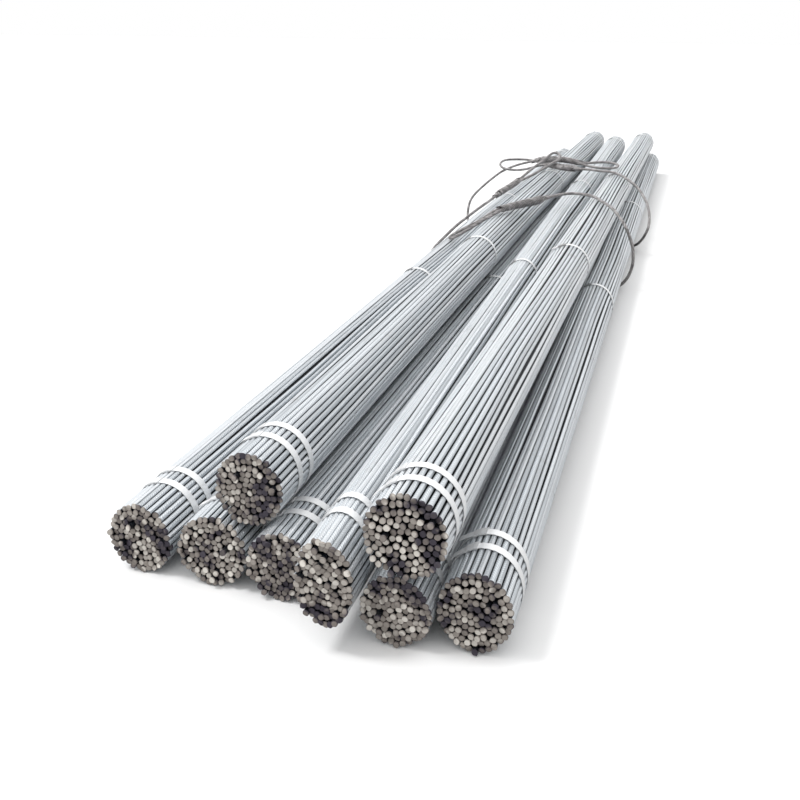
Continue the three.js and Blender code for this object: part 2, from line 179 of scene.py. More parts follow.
def add_node(tree, kind, inputs=None, ramp=None, **settings):
    """A new node with its settings, its inputs and its ramp's colours by place, both ends first."""
    node = tree.nodes.new(kind)
    for name, value in settings.items():
        setattr(node, name, value)
    set_inputs(node, inputs or {})
    for i, (place, colour) in enumerate((ramp or {}).items()):
        stops = node.color_ramp.elements
        stop = stops[i] if i < 2 else stops.new(place)
        stop.position = place
        stop.color = colour
    return node


# ---- User's sizes and colours ----
class RebarBarSettings(bpy.types.PropertyGroup):
    core: bpy.props.FloatProperty(
        name="Core diameter", description="Diameter of a bar between its ribs",
        default=0.0166, min=0.005, max=0.05, unit="LENGTH")
    rib_height: bpy.props.FloatProperty(
        name="Long rib", description="Height of the two ribs that run along a bar",
        default=0.0011, min=0.0, max=0.003, unit="LENGTH")
    rib_spacing: bpy.props.FloatProperty(
        name="Rib spacing", description="Distance from one slanted rib to the next",
        default=0.011, min=0.004, max=0.05, unit="LENGTH")
    steel: bpy.props.FloatVectorProperty(
        name="Bar steel", description="Colour of the rolled skin", subtype="COLOR",
        default=linear("#DDE3E8"), min=0, max=1)
    cut: bpy.props.FloatVectorProperty(
        name="Cut ends", description="Colour of the sheared ends", subtype="COLOR",
        default=linear("#A39C95"), min=0, max=1)


class RebarStrapSettings(bpy.types.PropertyGroup):
    width: bpy.props.FloatProperty(
        name="Width", description="Width of the steel strapping",
        default=0.03, min=0.01, max=0.06, unit="LENGTH")
    thickness: bpy.props.FloatProperty(
        name="Thickness", description="Thickness of the steel strapping",
        default=0.0011, min=0.0004, max=0.003, unit="LENGTH")
    steel: bpy.props.FloatVectorProperty(
        name="Strap steel", description="Colour of the galvanised strapping", subtype="COLOR",
        default=linear("#FBFCFD"), min=0, max=1)


class RebarSlingSettings(bpy.types.PropertyGroup):
    rope: bpy.props.FloatProperty(
        name="Rope diameter", description="Diameter of the wire rope",
        default=0.02, min=0.006, max=0.04, unit="LENGTH")
    lay: bpy.props.FloatProperty(
        name="Lay length", description="Distance in which a strand goes once round the rope",
        default=0.13, min=0.04, max=0.4, unit="LENGTH")
    steel: bpy.props.FloatVectorProperty(
        name="Rope steel", description="Colour of the greased wires", subtype="COLOR",
        default=linear("#ABA8A8"), min=0, max=1)


class RebarStageSettings(bpy.types.PropertyGroup):
    floor: bpy.props.FloatVectorProperty(
        name="Floor", description="Colour of the floor", subtype="COLOR",
        default=linear("#F2F2F2"), min=0, max=1)
    sky: bpy.props.FloatProperty(
        name="Sky light", description="Strength of the wide soft light from above",
        default=1.2, min=0.0, max=10.0)
    key: bpy.props.FloatProperty(
        name="Key light", description="Strength of the narrower light from the upper left",
        default=1.4, min=0.0, max=10.0)


# ---- Curves ----
def metres(sizes):
    return np.array(sizes, float) / 1000


def catmull_rom(points, per_span=40):
    """The centripetal curve through points, closely sampled, as an array."""
    p = np.array(points, float)
    p = np.vstack([2 * p[0] - p[1], p, 2 * p[-1] - p[-2]])
    out = []
    for first in range(len(p) - 3):
        level = p[first:first + 4]
        ends = np.cumsum([0.0, *(np.linalg.norm(b - a) ** 0.5 for a, b in zip(level, level[1:]))])
        t = np.linspace(ends[1], ends[2], per_span, endpoint=False)[:, None]
        for spans in (((0, 1), (1, 2), (2, 3)), ((0, 2), (1, 3)), ((1, 2),)):
            level = [(high - t) / (high - low) * a + (t - low) / (high - low) * b
                     for (low, high), a, b in zip(ends[np.array(spans)], level, level[1:])]
        out.append(level[0])
    out.append(p[-2][None, :])
    return np.vstack(out)


def distances(path):
    steps = np.linalg.norm(np.diff(path, axis=0), axis=1)
    return np.concatenate([[0.0], np.cumsum(steps)])


def resampled(path, step):
    """The same path in equal steps of about the given length."""
    along = distances(path)
    count = max(2, round(along[-1] / step)) + 1
    places = np.linspace(0, along[-1], count)
    return np.column_stack([np.interp(places, along, path[:, k]) for k in range(3)])


def eased(path, reach):
    """The path with its tight bends eased: each point moves to the middle of its neighbours."""
    away = np.arange(-3 * reach, 3 * reach + 1)
    weights = np.exp(-0.5 * (away / reach) ** 2)
    padded = np.pad(path, ((3 * reach, 3 * reach), (0, 0)), mode="reflect", reflect_type="odd")
    weights /= weights.sum()
    return np.column_stack([np.convolve(padded[:, k], weights, "valid") for k in range(3)])


# ---- Meshes ----
SHARP = 50  # degrees from which an edge is shown as an edge
FACTS = {  # what the lines and the trees that grow them keep at each point
    **dict.fromkeys(["girth", "turn", "shade", "cut", "along", "crest", "open"], "FLOAT"),
    **dict.fromkeys(["slant", "outward", "round", "spot"], "FLOAT_VECTOR"),
}


def placed(name, data):
    """A new object in the scene."""
    made = bpy.data.objects.new(name, data)
    bpy.context.scene.collection.objects.link(made)
    return made


def mesh_points(mesh):
    co = np.empty(len(mesh.vertices) * 3)
    mesh.vertices.foreach_get("co", co)
    return co.reshape(-1, 3)


def lines_mesh(name, lines, closed, facts):
    """A mesh of lines, one for each array of points. A fact is a list with an array for each line,
    or one value for all."""
    edges = []
    start = 0
    for line in lines:
        edges += [(start + i, start + i + 1) for i in range(len(line) - 1)]
        if closed:
            edges.append((start + len(line) - 1, start))
        start += len(line)
    mesh = bpy.data.meshes.new(name)
    mesh.from_pydata(np.vstack(lines).tolist(), edges, [])
    for label, values in facts.items():
        vector = FACTS[label] == "FLOAT_VECTOR"
        size = 3 if vector else 1
        if not isinstance(values, list):
            values = [values] * len(lines)
        flat = np.concatenate([np.broadcast_to(np.reshape(v, (-1, size)), (len(line), size))
                               for v, line in zip(values, lines)]).astype(float)
        data = mesh.attributes.new(label, FACTS[label], "POINT").data
        data.foreach_set("vector" if vector else "value", flat.ravel())
    return mesh


def grown(name, tree, values, lines, closed=False, **facts):
    """The plain mesh that a Geometry Nodes tree grows from lines and the facts of their points."""
    mesh = lines_mesh(name, lines, closed, facts)
    seed = placed(name, mesh)
    modifier = seed.modifiers.new("grow", "NODES")
    modifier.node_group = tree
    sockets = {s.name: s.identifier for s in tree.interface.items_tree if s.in_out == "INPUT"}
    for key, value in values.items():
        modifier[sockets[key]] = value
    graph = bpy.context.evaluated_depsgraph_get()
    result = bpy.data.meshes.new_from_object(seed.evaluated_get(graph), depsgraph=graph)
    seed.modifiers.remove(modifier)
    seed.data = result
    bpy.data.meshes.remove(mesh)
    result.name = name
    result.shade_smooth()
    result.set_sharp_from_angle(angle=math.radians(SHARP))
    return seed


def joined(name, objects):
    """Several objects as one."""
    with bpy.context.temp_override(active_object=objects[0], selected_editable_objects=objects,
                                   selected_objects=objects, object=objects[0]):
        bpy.ops.object.join()
    objects[0].name = name
    objects[0].data.name = name
    return objects[0]


def new_tree(name, inputs, reads):
    """A Geometry Nodes tree with named inputs for its sizes, what adds its nodes, its inputs, and
    the facts that it reads."""
    tree = bpy.data.node_groups.new(name, "GeometryNodeTree")
    tree.interface.new_socket("Geometry", in_out="INPUT", socket_type="NodeSocketGeometry")
    tree.interface.new_socket("Geometry", in_out="OUTPUT", socket_type="NodeSocketGeometry")
    for label, kind in inputs.items():
        tree.interface.new_socket(label, in_out="INPUT", socket_type="NodeSocket" + kind)
    add = partial(add_node, tree)
    told = {label: add("GeometryNodeInputNamedAttribute", {"Name": label}, data_type=FACTS[label])
            for label in reads}
    return tree, add, add("NodeGroupInput").outputs, told


def unit_ring(add, corners):
    """A ring of radius 1 whose points keep their places on it."""
    ring = add("GeometryNodeCurvePrimitiveCircle", {"Radius": 1, "Resolution": corners})
    return add(STORE, data_type="FLOAT_VECTOR", inputs={
        "Name": "round", 0: ring, "Value": add("GeometryNodeInputPosition")})


def tube_along(add, lines, turn, profile, thickness):
    """Closed tubes along lines that are turned about their way and keep how far they have come."""
    line = add("GeometryNodeMeshToCurve", {0: lines})
    tilted = add("GeometryNodeSetCurveTilt", {0: line, "Tilt": turn})
    length = add("GeometryNodeSplineParameter").outputs["Length"]
    kept = add(STORE, {"Name": "along", 0: tilted, "Value": length})
    return add("GeometryNodeCurveToMesh", {
        "Fill Caps": True, 0: kept, 1: profile, "Scale": thickness})


def spotted(add, told, tube):
    """A tube whose points keep their places round and along it, and how far each looks outwards:
    below zero where it looks at its neighbours."""
    across = add(SEPARATE, {0: told["round"]}).outputs
    spot = add(COMBINE, {0: across[0], 1: across[1], 2: told["along"]})
    kept = add(STORE, {"Name": "spot", 0: tube, "Value": spot}, data_type="FLOAT_VECTOR")
    facing = add("GeometryNodeInputNormal")
    looks = add(VECTOR_MATH, {0: told["outward"], 1: facing}, operation="DOT_PRODUCT")
    return kept, looks


def finished(add, geometry, openness, material):
    """Real geometry of one material that keeps how open each of its points lies."""
    if openness:
        geometry = add(STORE, {"Name": "open", 0: geometry, "Value": openness})
    real = add("GeometryNodeRealizeInstances", {0: geometry})
    return add("GeometryNodeSetMaterial", {0: real, "Material": material})


# ---- Bundles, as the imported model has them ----
class Bundle:
    """Where a bundle lies: its middle and its half widths at the three places where it may bend."""

    def __init__(self, name):
        self.number = int(name.split("_")[1])
        co = mesh_points(NODES[name].data)
        places, counts = np.unique(co[:, 1].round(4), return_counts=True)
        knots = places[counts >= 3 * OUTER_BARS]
        self.knots = np.array([knots[0], knots[len(knots) // 2], knots[-1]])
        rings = [co[np.abs(co[:, 1] - y) < SAME_PLACE][:, (0, 2)] for y in self.knots]
        self.middle = np.array([(ring.max(0) + ring.min(0)) / 2 for ring in rings])
        self.half = np.array([np.ptp(ring, axis=0) / 2 / BUNDLE_RADIUS for ring in rings])
        self.straps = {}
        for place in STRAP_PLACES:
            low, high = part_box(f"strap_{self.number}_{place}")
            self.straps[place] = (low.y + high.y) / 2

    def points(self, y, angle, radius):
        """Points by their place along the pile, angle and radius in the round bundle."""
        y = np.atleast_1d(np.asarray(y, float))
        held = np.clip(y, self.knots[0], self.knots[-1])
        x, z = [np.interp(held, self.knots, self.middle[:, k])
                + np.interp(held, self.knots, self.half[:, k]) * radius * way(angle)
                for k, way in enumerate((np.cos, np.sin))]
        return np.column_stack([x, y, z])


def inner_places():
    """Angle and radius of the inner bars, ring by ring."""
    bars = []
    ring_pitch = BAR_PITCH * math.sqrt(3) / 2
    radius = CENTRE_RADIUS - ring_pitch
    while radius > BAR_PITCH / 2:
        count = math.floor(2 * math.pi * radius / BAR_PITCH)
        bars += [(i * 2 * math.pi / count, radius) for i in range(count)]
        radius -= ring_pitch
    return np.array(bars)


# ---- Materials ----
SOFT = {"interpolation_type": "SMOOTHSTEP"}


def new_material(name, reads=()):
    """A material, its shader, what adds its nodes, and the facts that it reads."""
    material = bpy.data.materials.new(name)
    material.use_nodes = True
    add = partial(add_node, material.node_tree)
    told = {label: add("ShaderNodeAttribute", attribute_name=label)
            .outputs["Vector" if FACTS[label] == "FLOAT_VECTOR" else "Fac"] for label in reads}
    return material, material.node_tree.nodes["Principled BSDF"], add, told


def rolled_steel(settings):
    """Hot-rolled ribbed bar: a dull light grey skin with fine rolling streaks, a little rust in the
    grooves, and slanted ribs on both sides, which fade out towards the two long ribs."""
    material, shader, add, told = new_material("hot_rolled_steel", ["shade", "open", "spot"])
    coords = add("ShaderNodeTexCoord").outputs["Object"]
    # Streaks run along the bars: 4 mm wide and about 0.3 m long.
    long_ways = add("ShaderNodeMapping", {"Scale": (250, 3.5, 250), "Vector": coords})
    streaks = add(NOISE, {"Scale": 1, "Detail": 4, "Roughness": 0.6, "Vector": long_ways})
    both = add(MATH, {0: streaks, 1: 0.45}, operation="MULTIPLY")
    mixed = add(MATH, {0: told["shade"], 1: 0.62, 2: both}, operation="MULTIPLY_ADD")
    tones = add(RAMP, {"Fac": mixed}, {
        0: rgba(settings.steel, 0.42), 1: rgba(linear("#F6F9FC")), 0.36: rgba(settings.steel)})
    blotches = add(NOISE, {"Scale": 9, "Detail": 6, "Roughness": 0.65, "Vector": coords})
    rust = add(MAP_RANGE, {"Value": blotches, "From Min": 0.6, "From Max": 0.78, "To Max": 0.35})
    skin = add(MIX, {0: rust, 6: tones, 7: rgba(linear("#7C7068"))}, data_type="RGBA")
    # Painted shade: where a bar looks at its neighbours, its skin is painted near-black blue-grey,
    # as the shade in the gaps between bars.
    painted_shade = add(MAP_RANGE, {"Value": told["open"], "From Min": 0.1, "From Max": 0.54}, **SOFT)
    whole = add(MIX, {0: painted_shade, 6: rgba(linear("#1B1F27")), 7: skin}, data_type="RGBA")
    # Slanted ribs: a wave along the bar that leans with the way across it.
    x, y, z = add(SEPARATE, {0: told["spot"]}).outputs
    lean = add(MATH, {0: x, 1: 0.0075, 2: z}, operation="MULTIPLY_ADD")
    wave = add(MATH, {0: lean, 1: 2 * math.pi / settings.rib_spacing}, operation="MULTIPLY")
    crest = add(MATH, {0: wave}, operation="SINE")
    tops = add(MAP_RANGE, {"Value": crest, "From Min": 0.25, "From Max": 0.8}, **SOFT)
    side = add(MATH, {0: y}, operation="ABSOLUTE")
    fade = add(MAP_RANGE, {"Value": side, "From Min": 0.2, "From Max": 0.6}, **SOFT)
    ribs = add(MATH, {0: tops, 1: fade}, operation="MULTIPLY")
    # Between the ribs the skin keeps more scale than on them.
    worn = add(MIX, {0: 0.22, 6: (1, 1, 1, 1), 7: ribs}, data_type="RGBA")
    set_inputs(shader, {
        "Metallic": 0.55,
        "Roughness": add(MAP_RANGE, {"Value": streaks, "To Min": 0.28, "To Max": 0.46}),
        "Base Color": add(MIX, {0: 1.0, 6: whole, 7: worn}, data_type="RGBA",
                          blend_type="MULTIPLY"),
        "Normal": add(BUMP, {"Strength": 0.9, "Distance": 0.0013, "Height": ribs}),
    })
    return material


def sheared_steel(settings):
    """The sheared end of a bar: torn grey-brown steel, each bar with its own dirt and rust."""
    material, shader, add, told = new_material("sheared_steel", ["shade", "spot"])
    coords = add("ShaderNodeTexCoord").outputs["Object"]
    # Dirt lies in patches about 100 mm across, and a finer tear of 2 mm grain covers each end.
    dirt = add(NOISE, {"Scale": 10, "Detail": 3, "Vector": coords})
    grain = add(NOISE, {"Scale": 450, "Detail": 3, "Vector": coords})
    dirty = add(MAP_RANGE, {"Value": dirt, "From Min": 0.48, "From Max": 0.58})
    spread = add(MAP_RANGE, {"Value": told["shade"], "To Min": 0.32, "To Max": 1.0})
    clean = add(MATH, {0: dirty, 1: -0.6, 2: spread}, operation="MULTIPLY_ADD")
    # Painted shading: the middle of an end is painted a little lighter and its rim darker.
    x, y, _ = add(SEPARATE, {0: told["spot"]}).outputs
    across = add(COMBINE, {0: x, 1: y})
    reach = add(VECTOR_MATH, {0: across}, operation="LENGTH")
    painted_rim_shade = add(MAP_RANGE, {
        "Value": reach, "From Min": 0.75, "From Max": 1.0, "To Min": 0.05, "To Max": -0.2}, **SOFT)
    level = add(MATH, {0: clean, 1: painted_rim_shade}, operation="ADD")
    tones = add(RAMP, {"Fac": level}, {
        0: rgba(linear("#423D47")), 1: rgba(linear("#E6E1D9")),
        0.3: rgba(linear("#7F7772")), 0.65: rgba(settings.cut)})
    set_inputs(shader, {
        "Metallic": 0.15,
        "Roughness": 0.7,
        "Base Color": add(MIX, {0: 0.25, 6: tones, 7: grain}, data_type="RGBA",
                          blend_type="OVERLAY"),
        "Normal": add(BUMP, {"Strength": 0.5, "Distance": 0.001, "Height": grain}),
    })
    return material


def shadowed_steel():
    """Painted shadow deep inside a bundle: a near-black steel colour where hardly any light
    reaches.
    """
    material, shader, add, _ = new_material("painted_shadow_core")
    coords = add("ShaderNodeTexCoord").outputs["Object"]
    noise = add(NOISE, {"Scale": 40, "Detail": 3, "Vector": coords})
    tones = add(RAMP, {"Fac": noise}, {0: rgba(linear("#1C1E22")), 1: rgba(linear("#3A3C40"))})
    set_inputs(shader, {"Metallic": 0.3, "Roughness": 0.8, "Base Color": tones})
    return material


def galvanised_strap(name, steel, share=1):
    """Galvanised steel strapping: bright zinc with faint spangle and scuffs across the band."""
    material, shader, add, _ = new_material(name)
    coords = add("ShaderNodeTexCoord").outputs["Object"]
    steel = [c * share for c in steel]
    # Zinc spangle of about 6 mm, and scuffs about 1 mm wide along the bars that rubbed it.
    spangle = add("ShaderNodeTexVoronoi", {"Scale": 170, "Vector": coords})
    rubs = add("ShaderNodeMapping", {"Scale": (700, 40, 700), "Vector": coords})
    scuffs = add(NOISE, {"Scale": 1, "Detail": 3, "Vector": rubs})
    set_inputs(shader, {
        "Metallic": 0.25,
        "Roughness": add(MAP_RANGE, {"Value": spangle, "To Min": 0.28, "To Max": 0.46}),
        "Base Color": add(MIX, {0: scuffs, 6: rgba(steel, 0.8), 7: rgba(steel)}, data_type="RGBA"),
        "Normal": add(BUMP, {"Strength": 0.15, "Distance": 0.0005, "Height": scuffs}),
    })
    return material


def greased_wire(settings):
    """Steel wire rope dull with old grease: fine wires run round each strand."""
    material, shader, add, told = new_material("greased_wire_rope", ["open", "spot"])
    coords = add("ShaderNodeTexCoord").outputs["Object"]
    grime = add(NOISE, {"Scale": 35, "Detail": 4, "Vector": coords})
    # The wires are drawn 4 mm apart, coarser than the real 1 mm ones, so that they show.
    along = add(SEPARATE, {0: told["spot"]}).outputs["Z"]
    wires = add(MATH, {0: along, 1: 2 * math.pi / 0.004}, operation="MULTIPLY")
    wave = add(MATH, {0: wires}, operation="SINE")
    level = add(MATH, {0: wave, 1: 0.12, 2: grime}, operation="MULTIPLY_ADD")
    tones = add(RAMP, {"Fac": level}, {
        0.25: rgba(settings.steel, 0.5), 0.75: rgba(settings.steel, 1.9)})
    # Old grease and painted shade darken the valleys between the strands, and painted shade the
    # sides of tucked strands that look inwards at the heart.
    painted_shade = add(MAP_RANGE, {"Value": told["open"], "From Min": 0.3, "From Max": 0.95}, **SOFT)
    set_inputs(shader, {
        "Metallic": 0.55,
        "Roughness": 0.55,
        "Base Color": add(MIX, {0: painted_shade, 6: rgba(linear("#211E1D")), 7: tones}, data_type="RGBA"),
        "Normal": add(BUMP, {"Strength": 0.4, "Distance": 0.0006, "Height": wave}),
    })
    return material


# ---- Bars ----
BAR_SEED = 100  # of the first bundle's random draws
OUTER_SIDES, INNER_SIDES = 12, 10  # corners of a bar's section
BAR_TURN = 3  # radians that a bar is turned about its length at most
END_RINGS = [(0.0, 1.04), (0.001, 1.11), (0.004, 1.11), (0.02, 1.0)]  # depth and girth of an end
END_DEPTHS = np.array([depth for depth, _ in END_RINGS])
RING_LEAST = 0.97  # share of its girth that such a ring has at least
CUT_RINGS = 3  # of those that show sheared steel
SLANT = 0.0011  # spread of how far the shear runs aslant
END_SPREAD = 0.005  # of the outer bars' ends along the pile
END_LIMIT = 0.01
CLEAR_END = 0.04  # length without a bend at each end
SPAN = 0.38  # between the places where an outer bar may wander
SINK = 0.001  # how far it wanders inwards there
SUNK = [0, 0.0015, 0.0045]  # that some bars lie deeper than the ones beside them
SUNK_SHARES = [0.55, 0.25, 0.2]
TIGHT = 0.88  # share of the way round that the bars fill; the rest is gaps
GAPS = [0.05, 0.7, 4.0]  # that some bars lie close and others apart
GAP_SHARES = [0.5, 0.25, 0.25]
SHUFFLE = 1.1  # along a bundle, in which the gaps change
STUB = 0.12  # how far the inner bars reach into a bundle
STUB_DEPTHS = [*END_DEPTHS, 0.03, STUB]
INNER_REACH = CENTRE_RADIUS - 0.0165  # from a bundle's middle to its outermost inner bars
RING_TURN = 7  # how far each ring of inner bars may be turned against the next
SHAKE = 0.003  # how far the inner bars are shaken off their rings
ROOM = 1.03  # bar pitches from one of them to the next
PUSHES = 200
PUSH = 0.3  # share of what two bars lack in room that one push gives them
SLIP_SPREAD = 0.004  # of the inner bars' ends along the pile
SLIP_LIMITS = (-0.004, 0.012)
SLID_BACK = -0.005  # kept shallow, so that a bar that has slid in doesn't look like a hole
CORE_START = 0.08  # from an end face to the dark core
CORE_RADIUS = CENTRE_RADIUS - 0.0055


def ribbed_bars_tree():
    """Bars along lines: a round section with two long ribs, and its ends in another steel."""
    tree, add, given, told = new_tree("ribbed_bars", {
        "Core": "Float", "Long rib": "Float", "Sides": "Int", "Skin": "Material", "Cut": "Material",
    }, ["girth", "turn", "cut", "slant", "outward", "round", "along"])
    # The two corners that lie furthest to the sides carry the long ribs.
    position = add("GeometryNodeInputPosition")
    across = add(SEPARATE, {0: position})
    side = add(MATH, {0: across}, operation="ABSOLUTE")
    ribbed = add(MATH, {0: side, 1: 0.99}, operation="GREATER_THAN")
    half = add(MATH, {0: given["Core"], 1: 0.5}, operation="MULTIPLY")
    share = add(MATH, {0: given["Long rib"], 1: half}, operation="DIVIDE")
    rise = add(MATH, {0: ribbed, 1: share, 2: 1}, operation="MULTIPLY_ADD")
    out = add(VECTOR_MATH, {0: position, "Scale": rise}, operation="SCALE")
    profile = add(SET_POSITION, {0: unit_ring(add, given["Sides"]), "Position": out})
    scale = add(MATH, {0: told["girth"], 1: half}, operation="MULTIPLY")
    tube = tube_along(add, given["Geometry"], told["turn"], profile, scale)
    # The shear leaves each end a little aslant.
    lean = add(VECTOR_MATH, {0: told["slant"], 1: told["round"]}, operation="DOT_PRODUCT")
    shift = add(COMBINE, {1: lean})
    slanted = add(SET_POSITION, {0: tube, "Offset": shift})
    bars = finished(add, *spotted(add, told, slanted), given["Skin"])
    # The last rings of a bar say 1 here and the others 0.
    sheared = add(MATH, {0: told["cut"], 1: 0.6}, operation="GREATER_THAN")
    ends = add("GeometryNodeSetMaterial", {0: bars, "Selection": sheared, "Material": given["Cut"]})
    add("NodeGroupOutput", {0: ends})
    return tree


def settled_places(random):
    """The inner bars' places as angle and radius, shaken off their rings and pushed apart again."""
    angle, radius = inner_places().T
    angle = angle + RING_TURN * radius / BAR_PITCH * random.uniform(0, 1)
    spots = np.column_stack([radius * np.cos(angle), radius * np.sin(angle)])
    spots += random.normal(0, SHAKE, spots.shape)
    own = np.eye(len(spots))
    for _ in range(PUSHES):
        apart = spots[:, None] - spots[None]
        gap = np.linalg.norm(apart, axis=2) + own
        push = np.clip(BAR_PITCH * ROOM - gap, 0, None) * (1 - own)
        spots += (apart / gap[..., None] * push[..., None]).sum(1) * PUSH
        spots *= np.minimum(1, INNER_REACH / np.linalg.norm(spots, axis=1))[:, None]
    return np.arctan2(spots[:, 1], spots[:, 0]), np.linalg.norm(spots, axis=1)


def slips(count, index, face, random):
    """How far the inner bars of one end face stand out of it, above zero, or lie back in it."""
    out = np.clip(random.normal(0, SLIP_SPREAD, count), *SLIP_LIMITS)
    step = count // SLID_BARS
    first = (index + face * FACE_SKEW) % step
    for i in range(SLID_BARS):
        out[first + i * step] = SLIP + SLIP_STEP * (i % 3) if i % 2 else SLID_BACK
    return out


def bar_line(bundle, ys, ends, angle, radius, out, random):
    """One bar of a bundle as a line with the facts of its points. Its sheared ends are 0 for the
    first and 1 for the last."""
    count = len(ys)
    angles = np.broadcast_to(angle, count)
    facts = {
        "girth": np.ones(count),
        "cut": np.zeros(count),
        "slant": np.zeros((count, 3)),
        "outward": out * np.column_stack([np.cos(angles), np.zeros(count), np.sin(angles)]),
    }
    for end in ends:
        for k, (_, width) in enumerate(END_RINGS):
            at = count - 1 - k if end else k
            facts["girth"][at] = width * random.uniform(RING_LEAST, 1.0)
            facts["cut"][at] = k < CUT_RINGS
        rows = slice(-CUT_RINGS, None) if end else slice(0, CUT_RINGS)
        facts["slant"][rows, :2] = random.normal(0, SLANT, 2)
    facts["turn"] = np.full(count, random.uniform(0, BAR_TURN))
    facts["shade"] = np.full(count, random.uniform(0, 1))
    return bundle.points(ys, angle, radius), facts


def outer_bars(bundle, random):
    """The bars that show all along: each wanders a little between the straps that hold it."""
    rows = []
    straps = np.array(sorted(bundle.straps.values()))
    first, middle, last = bundle.knots
    stations = np.linspace(first, last, round((last - first) / SHUFFLE))
    gaps = random.choice(GAPS, (len(stations), OUTER_BARS), p=GAP_SHARES)
    uneven = np.cumsum(gaps / gaps.mean(axis=1)[:, None] - 1, axis=1) * (1 - TIGHT)
    uneven -= uneven.mean(axis=1)[:, None]
    # At the ends, where two straps hold them, the bars lie evenly.
    uneven[[0, -1]] = 0
    for i in range(OUTER_BARS):
        uneven_ends = np.clip(random.normal(0, END_SPREAD, 2), -END_LIMIT, END_LIMIT)
        start, stop = (first, last) + uneven_ends
        low, high = start + CLEAR_END, stop - CLEAR_END
        between = np.linspace(low, high, round((high - low) / SPAN))
        inside = np.unique([*between, *straps, middle])
        ys = np.concatenate([start + END_DEPTHS, inside, (stop - END_DEPTHS)[::-1]])
        held = np.min(np.abs(ys[:, None] - straps), axis=1)
        free = np.clip(held / SPAN, 0, 1)
        angle = 2 * math.pi / OUTER_BARS * (i + np.interp(ys, stations, uneven[:, i]))
        sunk = random.choice(SUNK, p=SUNK_SHARES)
        radius = CENTRE_RADIUS - free * (sunk + np.abs(random.normal(0, SINK, len(ys))))
        rows.append(bar_line(bundle, ys, (0, 1), angle, radius, 1, random))
    return rows


def inner_bars(bundle, index, random):
    """The ends of the bars inside, on both faces."""
    rows = []
    angles, radii = settled_places(random)
    for face, outward in enumerate((-1, 1)):
        end = bundle.knots[-face]
        for angle, radius, slip in zip(angles, radii, slips(len(angles), index, face, random)):
            ys = end + outward * (slip - np.array(STUB_DEPTHS))
            ys[-1] = end - outward * STUB
            # With an outward of 0, the whole skin of these bars takes the painted shade of the
            # rolled steel.
            line, facts = bar_line(bundle, ys, (0,), angle, radius, 0, random)
            if face:
                line, facts = line[::-1], {label: values[::-1] for label, values in facts.items()}
            rows.append((line, facts))
    return rows


def grown_bars(name, tree, values, rows):
    lines, facts = zip(*rows)
    together = {label: [own[label] for own in facts] for label in facts[0]}
    return grown(name, tree, values, lines, **together)


def dark_core(bundle, material):
    """What closes a bundle behind its outer bars: a plain round in painted shadow, in place of
    single bars.
    """
    first, middle, last = bundle.knots
    angles = 2 * math.pi * (np.arange(OUTER_BARS) + 0.5) / OUTER_BARS
    points = np.vstack([bundle.points(np.full(OUTER_BARS, y), angles, CORE_RADIUS)
                        for y in (first + CORE_START, middle, last - CORE_START)])
    here = np.arange(2 * OUTER_BARS).reshape(2, -1)
    beside = np.roll(here, -1, axis=1)
    faces = np.dstack([here, here + OUTER_BARS, beside + OUTER_BARS, beside])
    faces = faces.reshape(-1, 4).tolist()
    faces += [list(range(OUTER_BARS)), list(range(3 * OUTER_BARS - 1, 2 * OUTER_BARS - 1, -1))]
    mesh = bpy.data.meshes.new("core")
    mesh.from_pydata(points.tolist(), [], faces)
    mesh.materials.append(material)
    return placed("core", mesh)


class RebarAddBars(bpy.types.Operator):
    """Add the bars of every bundle"""

    bl_idname = "rebar.add_bars"
    bl_label = "Bars"

    def execute(self, context):
        settings = context.scene.rebar_bars
        skin, cut, dark = rolled_steel(settings), sheared_steel(settings), shadowed_steel()
        tree = ribbed_bars_tree()
        values = {"Core": settings.core, "Long rib": settings.rib_height, "Skin": skin, "Cut": cut}
        for index, name in enumerate(BUNDLES):
            bundle = Bundle(name)
            random = np.random.default_rng(BAR_SEED + index)
            outer, inner = outer_bars(bundle, random), inner_bars(bundle, index, random)
            piece = joined(f"bars_{bundle.number}", [
                grown_bars("outer", tree, {**values, "Sides": OUTER_SIDES}, outer),
                grown_bars("inner", tree, {**values, "Sides": INNER_SIDES}, inner),
                dark_core(bundle, dark)])
            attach(piece, "root")
            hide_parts(name)
        return {"FINISHED"}


# ---- Straps ----
STRAP_SEED = 23
DIP = 0.0008  # how far a strap sinks in between two bars
SWAY = (0.001, 0.004)  # how far it runs askew, at least and at most
SWAY_PHASE = 6  # radians round the bundle by which that may be turned
SEAL_LENGTH = 0.042
SEAL_REACH = SEAL_LENGTH / 2 / (math.pi / OUTER_BARS * BUNDLE_RADIUS)  # in half bars
SEAL_WIDTH = 0.037
SEAL_THICKNESS = 0.0045
SEAL_STEP = 0.0045  # from ring to ring along a seal
SEAL_PLACE = 22  # half bars round from +X: up and to the left
SEAL_SPREAD = 2  # half bars that it may lie off that place
SEAL_TONES = (0.8, 0.3)  # shares of the strap's colour: seals at the near end, and the others
NOTCHES = (0.3, 0.7)  # where a seal is crimped, as shares of its length
NOTCH_WIDTH = 0.05
NOTCH_DEPTH = 0.14
TAIL = 3.5  # half bars that a strap's free end reaches past its seal
TAIL_WIDTH = 0.95  # as a share of the strap's
TAIL_GAP = 0.0015  # between it and the strap under it
TAIL_RISE = 0.012  # that its end stands up at most
TAIL_RISE_LEAST = 0.3  # share of that


def steel_band_tree():
    """A flat band along a line, with its width along the bars."""
    tree, add, given, told = new_tree("steel_band", {
        "Width": "Float", "Thickness": "Float", "Material": "Material"}, ["girth"])
    line = add("GeometryNodeMeshToCurve", {0: given["Geometry"]})
    turned = add("GeometryNodeSetCurveNormal", {0: line, "Normal": (0, 1, 0)}, mode="FREE")
    section = add("GeometryNodeCurvePrimitiveQuadrilateral", {
        "Width": given["Width"], "Height": given["Thickness"]})
    tube = add("GeometryNodeCurveToMesh", {
        "Fill Caps": True, 0: turned, 1: section, "Scale": told["girth"]})
    add("NodeGroupOutput", {0: finished(add, tube, None, given["Material"])})
    return tree


